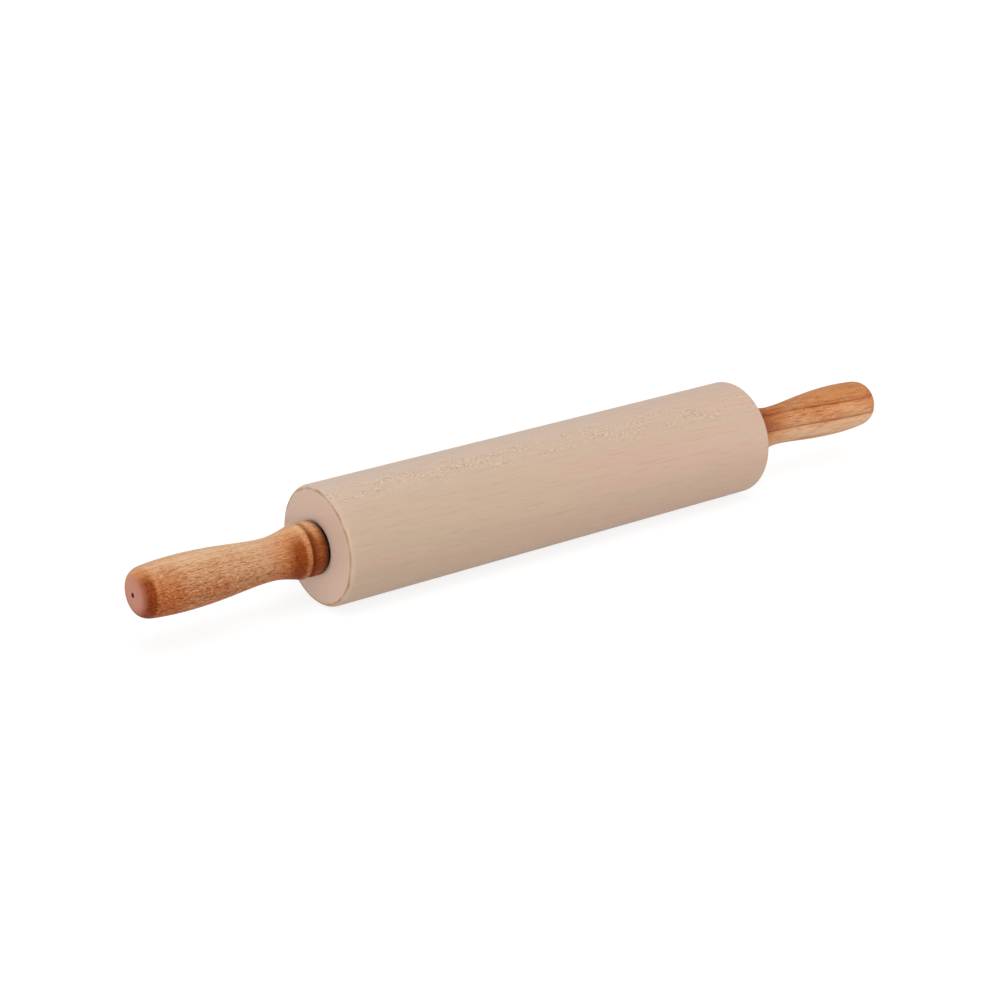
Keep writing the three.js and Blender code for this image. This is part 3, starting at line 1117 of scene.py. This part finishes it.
@dataclass
class Handle:
    """Turned handle, from its collar next to the barrel out to its tip. Sizes in millimetres."""

    side: Side
    finish: Finish
    gap: float = 1.0
    face: float = BARREL_HALF
    collar_radius: float = 12.7
    collar_width: float = 5.8
    collar_round: float = 1.8
    groove_width: float = 2.8
    groove_depth: float = 1.1
    bead_radius: float = 12.75
    bead_width: float = 3.2
    bead_crown: float = 0.3
    cove_length: float = 14.2
    cove_slope: float = 0.3
    neck_radius: float = 9.95
    neck_lead: float = 12.0
    swell_length: float = 44.0
    grip_radius: float = 12.75
    grip_lead: float = 20.0
    shoulder_length: float = 16.5
    shoulder_drop: float = 0.85
    tip_length: float = 6.9
    cap_radius: float = 6.4
    cap_height: float = 0.3
    vent_radius: float = 1.0
    vent_chamfer: float = 0.25
    socket_radius: float = 4.1
    socket_depth: float = 60.0
    socket_point: float = 2.0
    small_steps: int = 12
    long_steps: int = 24
    segments: int = 144

    def collar(self) -> list[Point]:
        """Gives the collar, groove and bead.

        Returns:
            Points from the collar's inner face to the foot of the bead.
        """
        rim, width = self.collar_radius, self.collar_width
        lower = rim - (self.bead_radius - self.bead_crown)
        bead_from = width + self.groove_width
        edge = arc((self.collar_round, rim - self.collar_round), self.collar_round, -90, 0, self.small_steps)
        groove = [
            (width + self.groove_width * t, rim - lower * t - self.groove_depth * math.sin(math.pi * t))
            for t in shares(self.small_steps)
        ]
        bead = [
            (bead_from + self.bead_width * t, self.bead_radius - self.bead_crown * (2 * t - 1) ** 2)
            for t in shares(self.small_steps)
        ]
        return [*edge, *groove, *bead]

    def grip(self) -> list[Point]:
        """Gives the cove, the neck, the swelling grip and its shoulder.

        Returns:
            Points from the foot of the bead to the edge of the tip.
        """
        neck, grip = self.neck_radius, self.grip_radius
        foot = self.bead_radius - self.bead_crown
        cove_from = self.collar_width + self.groove_width + self.bead_width
        neck_at = cove_from + self.cove_length
        grip_at = neck_at + self.swell_length
        edge_from = grip_at + self.shoulder_length
        cove = [(cove_from, foot), (cove_from + (foot - neck) / self.cove_slope, neck), (neck_at, neck)]
        swell = [
            (neck_at, neck),
            (neck_at + self.neck_lead, neck),
            (grip_at - self.grip_lead, grip),
            (grip_at, grip),
        ]
        shoulder = [
            (grip_at, grip),
            (grip_at + self.shoulder_length / 2, grip),
            (edge_from, grip - self.shoulder_drop),
        ]
        return [point for corners in (cove, swell, shoulder) for point in bezier(corners, self.long_steps)]

    def tip(self, edge_from: float) -> list[Point]:
        """Gives the rounded end with its low cap and vent.

        Args:
            edge_from: Where the rounding starts.

        Returns:
            Points from the edge of the tip to the rim of the vent.
        """
        edge = self.grip_radius - self.shoulder_drop
        slope = 2 * self.shoulder_drop / self.shoulder_length
        cap_slope = 2 * self.cap_height / self.cap_radius
        corner = (self.tip_length - cap_slope * (edge - self.cap_radius)) / (1 - slope * cap_slope)
        cap_from = edge_from + self.tip_length
        rounding = [
            (edge_from, edge),
            (edge_from + corner, edge - slope * corner),
            (cap_from, self.cap_radius),
        ]
        rim = self.vent_radius + self.vent_chamfer
        radii = [self.cap_radius + (rim - self.cap_radius) * t for t in shares(self.small_steps)]
        cap = [(cap_from + self.cap_height * (1 - (r / self.cap_radius) ** 2), r) for r in radii]
        vent = (cap[-1][0] - self.vent_chamfer, self.vent_radius)
        return [*bezier(rounding, self.long_steps), *cap, vent]

    def build(self, lathe: Lathe) -> None:
        """Turns the handle.

        Args:
            lathe: Tree that turns it.
        """
        grip = self.grip()
        hollow = [
            (self.socket_depth + self.socket_point, self.vent_radius),
            (self.socket_depth, self.socket_radius),
            (0.0, self.socket_radius),
        ]
        outline = [hollow[-1], *self.collar(), *grip, *self.tip(grip[-1][0]), *hollow]
        word = self.side.word
        piece = lathe.turn(
            f"{word}_beech_handle",
            outline,
            self.segments,
            self.finish,
            self.side.facing,
            self.side.value * (self.face + self.gap),
        )
        seat(piece, "handles_and_rod", f"{word}_handle")


@dataclass
class AxleRod:
    """Rod through the barrel, with a washer on it at each end of the barrel. Sizes in millimetres."""

    half_length: float = 187.0
    radius: float = 4.0
    chamfer: float = 0.8
    washer_bore: float = 4.05
    washer_rim: float = 5.71
    washer_from: float = 126.55
    washer_to: float = 127.95
    washer_chamfer: float = 0.15
    segments: int = 64
    finish: Finish = Steel("drawn_bright_steel")

    def build(self, lathe: Lathe) -> None:
        """Turns the rod and both washers.

        Args:
            lathe: Tree that turns them.
        """
        end, shank = self.half_length, self.half_length - self.chamfer
        tip = self.radius - self.chamfer
        outline = mirrored([(shank, self.radius), (end, tip), (end, 0.0)])
        rod = lathe.turn("drawn_rod", outline, self.segments, self.finish)
        seat(rod, "handles_and_rod", "axle_rod")
        low, high, cut = self.washer_from, self.washer_to, self.washer_chamfer
        ring = [
            (low, self.washer_bore),
            (low, self.washer_rim - cut),
            (low + cut, self.washer_rim),
            (high - cut, self.washer_rim),
            (high, self.washer_rim - cut),
            (high, self.washer_bore),
        ]
        for side in Side:
            name = f"{side.word}_steel_washer"
            washer = lathe.turn(name, closed(ring), self.segments, self.finish, side.facing)
            seat(washer, "handles_and_rod", f"{side.word}_spacer_washer")


@dataclass
class Bearing:
    """Ball bearing in one end of the barrel, about its own middle. Sizes in millimetres."""

    side: Side
    lathe: Lathe
    balls: Tree
    cages: Tree
    middle: float = 123.0
    half_width: float = 3.5
    bore: float = 4.05
    radius: float = 11.0
    chamfer: float = 0.3
    ball_count: int = 7
    ball_radius: float = 1.985
    race_radius: float = 2.085
    race_depth: float = 0.6
    race_steps: int = 7
    pitch_radius: float = 7.495
    shield_from: float = 3.035
    shield_to: float = 3.335
    shield_recess: float = 9.38
    shield_rim: float = 9.33
    shield_hole: float = 6.31
    shield_edge: float = 0.08
    fit: float = 0.05
    cage_hole: float = 6.41
    cage_rim: float = 8.58
    cage_back: float = 2.735
    cage_lip: float = 1.1
    pocket_radius: float = 2.135
    segments: int = 72
    ball_segments: int = 32
    ground: Finish = Steel(
        "ground_bearing_steel",
        rough=(0.16, 0.3),
        make=SteelMake.GROUND,
        bright="#DADBDE",
        dull="#B4B6BA",
        lines=Marks(9.0, 0.25, Fade(0.35, 0.7), detail=3.0),
    )
    pressed: Finish = Steel(
        "pressed_sheet_steel",
        rough=(0.34, 0.5),
        make=SteelMake.PRESSED,
        bright="#CBCCCF",
        dull="#A2A4A8",
        lines=Marks(5.0, 0.4, Fade(0.35, 0.7), detail=3.0),
    )
    nylon: Finish = MouldedNylon()

    def race(self, inner: bool) -> list[Point]:
        """Gives half the groove that the balls run in.

        Args:
            inner: Whether it is the inner ring's groove.

        Returns:
            Points from the groove's middle to its edge on the side of +X.
        """
        half = math.degrees(math.acos(1 - self.race_depth / self.race_radius))
        start, end = (180.0, 180.0 - half) if inner else (0.0, half)
        return arc((0.0, self.pitch_radius), self.race_radius, start, end, self.race_steps)

    def inner_ring(self) -> list[Point]:
        """Gives the outline of the inner ring.

        Returns:
            Points right round it.
        """
        edge, cut = self.half_width, self.chamfer
        groove = self.race(inner=True)
        rim = groove[-1][1]
        half = [
            *groove,
            (edge - self.fit, rim),
            (edge, rim - self.fit),
            (edge, self.bore + cut),
            (edge - cut, self.bore),
        ]
        return closed(mirrored(half))

    def outer_ring(self) -> list[Point]:
        """Gives the outline of the outer ring, with a recess for a shield in each side.

        Returns:
            Points right round it.
        """
        edge, cut = self.half_width, self.chamfer
        groove = self.race(inner=False)
        ledge = self.shield_from - self.fit
        half = [
            *groove,
            (ledge, groove[-1][1]),
            (ledge, self.shield_recess),
            (edge, self.shield_recess),
            (edge, self.radius - cut),
            (edge - cut, self.radius),
        ]
        return closed(mirrored(half))

    def shield(self) -> list[Point]:
        """Gives the outline of a shield, on the side of +X.

        Returns:
            Points right round it.
        """
        low, high, cut = self.shield_from, self.shield_to, self.shield_edge
        outline = [
            (low, self.shield_hole),
            (low, self.shield_rim),
            (high - cut, self.shield_rim),
            (high, self.shield_rim - cut),
            (high, self.shield_hole + cut),
            (high - cut, self.shield_hole),
        ]
        return closed(outline)

    def cage(self) -> list[Point]:
        """Gives the outline of the cage, before its pockets are cut.

        Returns:
            Points right round it.
        """
        back, lip = -self.cage_back, self.cage_lip
        low, high = self.cage_hole, self.cage_rim
        return closed([(back, low), (lip, low), (lip, high), (back, high)])

    def build(self) -> None:
        """Makes the rings, the shields, the cage and the balls."""
        word, facing = self.side.word, self.side.facing
        place = self.side.value * self.middle
        rings = (("inner", "handles_and_rod", self.inner_ring()), ("outer", "barrel", self.outer_ring()))
        for name, body, outline in rings:
            title = f"{word}_ground_{name}_ring"
            ring = self.lathe.turn(title, outline, self.segments, self.ground, facing, place)
            seat(ring, body, f"{word}_bearing_{name}_ring")
        for name, turn in (("outer", facing), ("inner", facing + math.pi)):
            title = f"{word}_pressed_{name}_shield"
            cover = self.lathe.turn(title, self.shield(), self.segments, self.pressed, turn, place)
            seat(cover, "barrel", f"{word}_bearing_{name}_shield")

        row = {"Count": self.ball_count, "Pitch Radius": self.pitch_radius * MM}
        pockets = {
            "Segments": self.segments,
            "Pocket Radius": self.pocket_radius * MM,
            "Pocket Depth": 2 * self.ball_radius * MM,
        }
        placing = self.lathe.placing(self.nylon, facing, place)
        cage = make_mesh(f"{word}_nylon_cage", self.cages, {**row, **pockets, **placing}, self.cage())
        seat(cage, f"{word}_cage", f"{word}_bearing_cage")
        sizes = {"Segments": self.ball_segments, "Ball Radius": self.ball_radius * MM}
        placing = self.lathe.placing(self.ground, facing, place)
        for i in range(self.ball_count):
            title = f"{word}_steel_ball_{i + 1}"
            ball = make_mesh(title, self.balls, {**row, **sizes, **placing, "Ball": i})
            seat(ball, f"{word}_ball_{i + 1}", f"{word}_bearing_ball_{i + 1}")


# Studio


@dataclass(frozen=True)
class Softbox:
    """Square lamp that faces the middle of the pin.

    Attributes:
        name: Name of the lamp.
        towards: Direction that it stands in.
        far: Distance in metres.
        size: Width in metres.
        watts: Power.
    """

    name: str
    towards: tuple[float, float, float]
    far: float
    size: float
    watts: float

    def hang(self) -> None:
        """Puts the lamp up."""
        lamp = bpy.data.lights.new(self.name, "AREA")
        lamp.shape = "SQUARE"
        lamp.size = self.size
        lamp.energy = self.watts
        towards = Vector(self.towards).normalized()
        box = bpy.data.objects.new(self.name, lamp)
        box.location = towards * self.far
        box.rotation_euler = towards.to_track_quat("Z", "Y").to_euler()
        bpy.context.scene.collection.objects.link(box)


@dataclass
class Studio:
    """White sweep, soft sky, softboxes and the camera. Sizes in metres."""

    floor_half: float = 6.0
    floor_drop: float = 0.00005
    floor_grey: float = 0.75
    floor_seen: float = 0.3
    floor_glow: Pair = (0.82, 0.93)  # under the pin and far from it
    glow_reach: Pair = (0.35, 1.0)
    sky: float = 0.32
    lamps: tuple[Softbox, ...] = (
        Softbox("overhead_softbox", (-0.10, -0.30, 0.945), 2.6, 1.8, 26.5),
        Softbox("back_softbox", (0.30, 0.40, 0.85), 2.4, 1.1, 8.5),
        Softbox("end_softbox", (-0.85, -0.45, 0.10), 2.6, 1.6, 43.0),
        Softbox("far_softbox", (0.84, -0.50, 0.13), 0.62, 0.25, 0.72),
    )
    camera_azimuth: float = -37.563  # degrees from straight along +Y
    camera_height: float = 20.282  # degrees above the horizon
    camera_far: float = 1.184474
    camera_shift: Pair = (-0.017824, -0.005826)  # to its right and up
    lens: float = 88.599  # millimetres, for a sensor of 36

    def seen(self, tree: Tree) -> Node:
        """Tells what is seen from what lights the object.

        Args:
            tree: Tree of the floor's or the world's material.

        Returns:
            Node that gives 1 for camera, glossy and transmission rays, and 0 for light on matt surfaces.
        """
        path = add_node(tree, "ShaderNodeLightPath")
        bent = {0: path.outputs["Is Glossy Ray"], 1: path.outputs["Is Transmission Ray"]}
        any_bent = add_node(tree, "ShaderNodeMath", bent, operation="MAXIMUM")
        shown = {0: path.outputs["Is Camera Ray"], 1: any_bent}
        return add_node(tree, "ShaderNodeMath", shown, operation="MAXIMUM")

    def floor(self) -> None:
        """Lays matt white paper under the barrel: white all round, with a soft shadow under the pin."""
        level = CAD_BOX[0][2] - self.floor_drop
        half = self.floor_half
        mesh = bpy.data.meshes.new("white_sweep")
        corners = [(-half, -half, level), (half, -half, level), (half, half, level), (-half, half, level)]
        mesh.from_pydata(corners, [], [(0, 1, 2, 3)])
        sweep = bpy.data.objects.new("white_sweep", mesh)
        bpy.context.scene.collection.objects.link(sweep)
        paper = bpy.data.materials.new("matt_white_paper")
        paper.use_nodes = True
        tree = paper.node_tree
        tree.nodes.clear()
        matt = add_node(tree, "ShaderNodeBsdfDiffuse", {"Color": grey(self.floor_grey)})
        lit = add_node(tree, "ShaderNodeBsdfDiffuse", {"Color": grey(self.floor_seen)})
        place = add_node(tree, "ShaderNodeTexCoord").outputs["Object"]
        away = add_node(tree, "ShaderNodeVectorMath", {0: place}, operation="LENGTH")
        strength = add_node(tree, "ShaderNodeMapRange", Fade(*self.glow_reach, *self.floor_glow).of(away))
        glow = add_node(tree, "ShaderNodeEmission", {"Strength": strength})
        bright = add_node(tree, "ShaderNodeAddShader", {0: lit, 1: glow})
        shown = add_node(tree, "ShaderNodeMixShader", {0: self.seen(tree), 1: matt, 2: bright})
        # The paper can be looked through from below.
        back = add_node(tree, "ShaderNodeNewGeometry").outputs["Backfacing"]
        clear = add_node(tree, "ShaderNodeBsdfTransparent")
        surface = add_node(tree, "ShaderNodeMixShader", {0: back, 1: shown, 2: clear})
        add_node(tree, "ShaderNodeOutputMaterial", {"Surface": surface})
        mesh.materials.append(paper)

    def light(self) -> None:
        """Sets the soft sky, which is seen as white, and hangs the lamps."""
        world = bpy.data.worlds.new("soft_sky")
        world.use_nodes = True
        tree = world.node_tree
        tree.nodes.clear()
        soft = add_node(tree, "ShaderNodeBackground", {"Color": grey(1.0), "Strength": self.sky})
        white = add_node(tree, "ShaderNodeBackground", {"Color": grey(1.0), "Strength": 1.0})
        mixed = add_node(tree, "ShaderNodeMixShader", {0: self.seen(tree), 1: soft, 2: white})
        add_node(tree, "ShaderNodeOutputWorld", {"Surface": mixed})
        bpy.context.scene.world = world
        for lamp in self.lamps:
            lamp.hang()

    def camera(self) -> None:
        """Sets the camera where the photograph was taken from."""
        azimuth, height = math.radians(self.camera_azimuth), math.radians(self.camera_height)
        level = math.cos(height)
        back = Vector((math.sin(azimuth) * level, -math.cos(azimuth) * level, math.sin(height)))
        right = Vector((math.cos(azimuth), math.sin(azimuth), 0.0))
        up = back.cross(right)
        place = back * self.camera_far + right * self.camera_shift[0] + up * self.camera_shift[1]
        data = bpy.data.cameras.new("photo_camera")
        data.lens = self.lens
        camera = bpy.data.objects.new("photo_camera", data)
        turn = Matrix((right, up, back)).transposed().to_4x4()
        camera.matrix_world = Matrix.Translation(place) @ turn
        bpy.context.scene.collection.objects.link(camera)
        bpy.context.scene.camera = camera

    def build(self) -> None:
        """Sets up the whole studio."""
        self.camera()
        self.floor()
        self.light()
        bpy.context.scene.view_settings.view_transform = "Standard"


def main() -> None:
    """Builds the studio and the pin."""
    logging.basicConfig(level=logging.INFO, format="%(name)s: %(message)s")
    Studio().build()
    lathe = Lathe()
    Barrel().build(lathe)
    for side, wood in WOODS.items():
        Handle(side, wood).build(lathe)
    AxleRod().build(lathe)
    balls, cages = ball_tree(), cage_tree(lathe.turned)
    for side in Side:
        Bearing(side, lathe, balls, cages).build()


if __name__ == "__main__":
    main()
